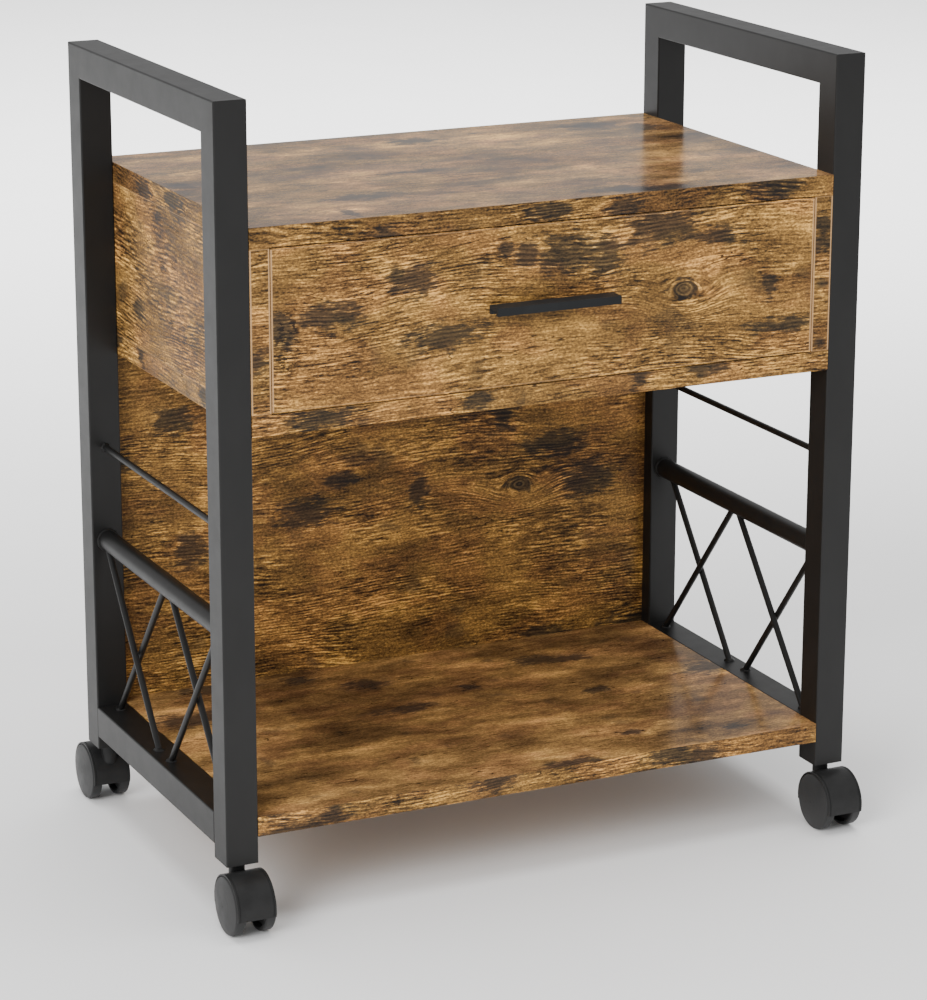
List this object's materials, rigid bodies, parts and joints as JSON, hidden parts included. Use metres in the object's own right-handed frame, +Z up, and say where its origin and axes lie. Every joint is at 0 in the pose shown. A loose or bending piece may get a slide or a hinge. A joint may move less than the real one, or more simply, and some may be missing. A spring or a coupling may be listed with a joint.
{
  "type": "mobile printer stand",
  "caption": "Wheeled stand for a printer: tube side frames carry a wood-look top, a shallow drawer case, an open bay with a back panel and a low shelf.",
  "frame": {"origin": "on the floor, under the middle of the stand", "axes": "+Z up, the drawer front faces -Y, +X to the right seen from the front"},
  "size_m": [0.5306, 0.3542, 0.61],
  "materials": {
    "rustic_wood": "wood-look laminate on board, saw-marked brown grain, satin",
    "inner_board": "plain brown laminate on board",
    "beech": "fluted beech dowel",
    "black_frame": "black powder coat, satin",
    "black_plastic": "moulded black nylon, fine matt",
    "black_handle": "black coated bar",
    "roller_nylon": "natural nylon",
    "die_cast_zinc": "die-cast zinc",
    "zinc_steel": "zinc-plated steel"
  },
  "bodies": {
    "stand": {"left_front_leg": "black_frame", "left_rear_leg": "black_frame", "right_front_leg": "black_frame", "right_rear_leg": "black_frame", "left_top_rail": "black_frame", "left_bottom_rail": "black_frame", "left_round_rail": "black_frame", "left_thin_rod": "black_frame", "left_lattice_rods": "black_frame", "right_top_rail": "black_frame", "right_bottom_rail": "black_frame", "right_round_rail": "black_frame", "right_thin_rod": "black_frame", "right_lattice_rods": "black_frame", "leg_plugs": "black_plastic", "shelf_tabs": "black_frame", "top_board": "rustic_wood", "case_bottom_board": "rustic_wood", "case_left_side": "rustic_wood", "case_right_side": "rustic_wood", "case_back": "inner_board", "back_panel": "rustic_wood", "lower_shelf": "rustic_wood", "dowels": "beech", "cam_bolts": "zinc_steel", "cam_locks": "die_cast_zinc", "frame_bolts": "zinc_steel", "rivet_nuts": "zinc_steel", "long_screws": "zinc_steel", "short_screws": "zinc_steel", "case_slides": "zinc_steel", "caster_stems": "zinc_steel"},
    "drawer": {"drawer_front": "rustic_wood", "drawer_left_side": "inner_board", "drawer_right_side": "inner_board", "drawer_back": "inner_board", "drawer_bottom": "inner_board", "drawer_handle": "black_handle", "handle_screws": "zinc_steel", "drawer_dowels": "beech", "drawer_screws": "zinc_steel", "drawer_slides": "zinc_steel"},
    "front_rollers": {"front_slide_rollers": "roller_nylon"},
    "rear_rollers": {"rear_slide_rollers": "roller_nylon"},
    "front_left_caster": {"front_left_hood": "black_plastic", "front_left_axle": "zinc_steel"},
    "front_left_wheel_a": {"front_left_wheel_a": "black_plastic"},
    "front_left_wheel_b": {"front_left_wheel_b": "black_plastic"},
    "front_right_caster": {"front_right_hood": "black_plastic", "front_right_axle": "zinc_steel"},
    "front_right_wheel_a": {"front_right_wheel_a": "black_plastic"},
    "front_right_wheel_b": {"front_right_wheel_b": "black_plastic"},
    "rear_left_caster": {"rear_left_hood": "black_plastic", "rear_left_axle": "zinc_steel"},
    "rear_left_wheel_a": {"rear_left_wheel_a": "black_plastic"},
    "rear_left_wheel_b": {"rear_left_wheel_b": "black_plastic"},
    "rear_right_caster": {"rear_right_hood": "black_plastic", "rear_right_axle": "zinc_steel"},
    "rear_right_wheel_a": {"rear_right_wheel_a": "black_plastic"},
    "rear_right_wheel_b": {"rear_right_wheel_b": "black_plastic"}
  },
  "joints": [
    {"name": "drawer_slide", "type": "slide", "parent": "stand", "child": "drawer", "axis": [0, -1, 0], "range_m": [0, 0.21]},
    {"name": "front_rollers_spin", "type": "hinge", "parent": "stand", "child": "front_rollers", "pos_m": [0, -0.122, 0.4159], "axis": [1, 0, 0], "range_deg": [-5, 1345]},
    {"name": "rear_rollers_spin", "type": "hinge", "parent": "drawer", "child": "rear_rollers", "pos_m": [0, 0.108, 0.4121], "axis": [1, 0, 0], "range_deg": [-5, 1345]},
    {"name": "front_left_swivel", "type": "hinge", "parent": "stand", "child": "front_left_caster", "pos_m": [-0.2475, -0.1375, 0.04], "axis": [0, 0, 1], "continuous": true},
    {"name": "front_left_wheel_a_spin", "type": "hinge", "parent": "front_left_caster", "child": "front_left_wheel_a", "pos_m": [-0.2475, -0.1535, 0.022], "axis": [1, 0, 0], "continuous": true},
    {"name": "front_left_wheel_b_spin", "type": "hinge", "parent": "front_left_caster", "child": "front_left_wheel_b", "pos_m": [-0.2475, -0.1535, 0.022], "axis": [1, 0, 0], "continuous": true},
    {"name": "front_right_swivel", "type": "hinge", "parent": "stand", "child": "front_right_caster", "pos_m": [0.2475, -0.1375, 0.04], "axis": [0, 0, 1], "continuous": true},
    {"name": "front_right_wheel_a_spin", "type": "hinge", "parent": "front_right_caster", "child": "front_right_wheel_a", "pos_m": [0.2475, -0.1535, 0.022], "axis": [1, 0, 0], "continuous": true},
    {"name": "front_right_wheel_b_spin", "type": "hinge", "parent": "front_right_caster", "child": "front_right_wheel_b", "pos_m": [0.2475, -0.1535, 0.022], "axis": [1, 0, 0], "continuous": true},
    {"name": "rear_left_swivel", "type": "hinge", "parent": "stand", "child": "rear_left_caster", "pos_m": [-0.2475, 0.1375, 0.04], "axis": [0, 0, 1], "continuous": true},
    {"name": "rear_left_wheel_a_spin", "type": "hinge", "parent": "rear_left_caster", "child": "rear_left_wheel_a", "pos_m": [-0.2475, 0.1535, 0.022], "axis": [1, 0, 0], "continuous": true},
    {"name": "rear_left_wheel_b_spin", "type": "hinge", "parent": "rear_left_caster", "child": "rear_left_wheel_b", "pos_m": [-0.2475, 0.1535, 0.022], "axis": [1, 0, 0], "continuous": true},
    {"name": "rear_right_swivel", "type": "hinge", "parent": "stand", "child": "rear_right_caster", "pos_m": [0.2475, 0.1375, 0.04], "axis": [0, 0, 1], "continuous": true},
    {"name": "rear_right_wheel_a_spin", "type": "hinge", "parent": "rear_right_caster", "child": "rear_right_wheel_a", "pos_m": [0.2475, 0.1535, 0.022], "axis": [1, 0, 0], "continuous": true},
    {"name": "rear_right_wheel_b_spin", "type": "hinge", "parent": "rear_right_caster", "child": "rear_right_wheel_b", "pos_m": [0.2475, 0.1535, 0.022], "axis": [1, 0, 0], "continuous": true}
  ],
  "couplings": [
    {"joint": "front_rollers_spin", "follows": "drawer_slide", "rad_per_m": 111.11},
    {"joint": "rear_rollers_spin", "follows": "drawer_slide", "rad_per_m": 111.11}
  ]
}
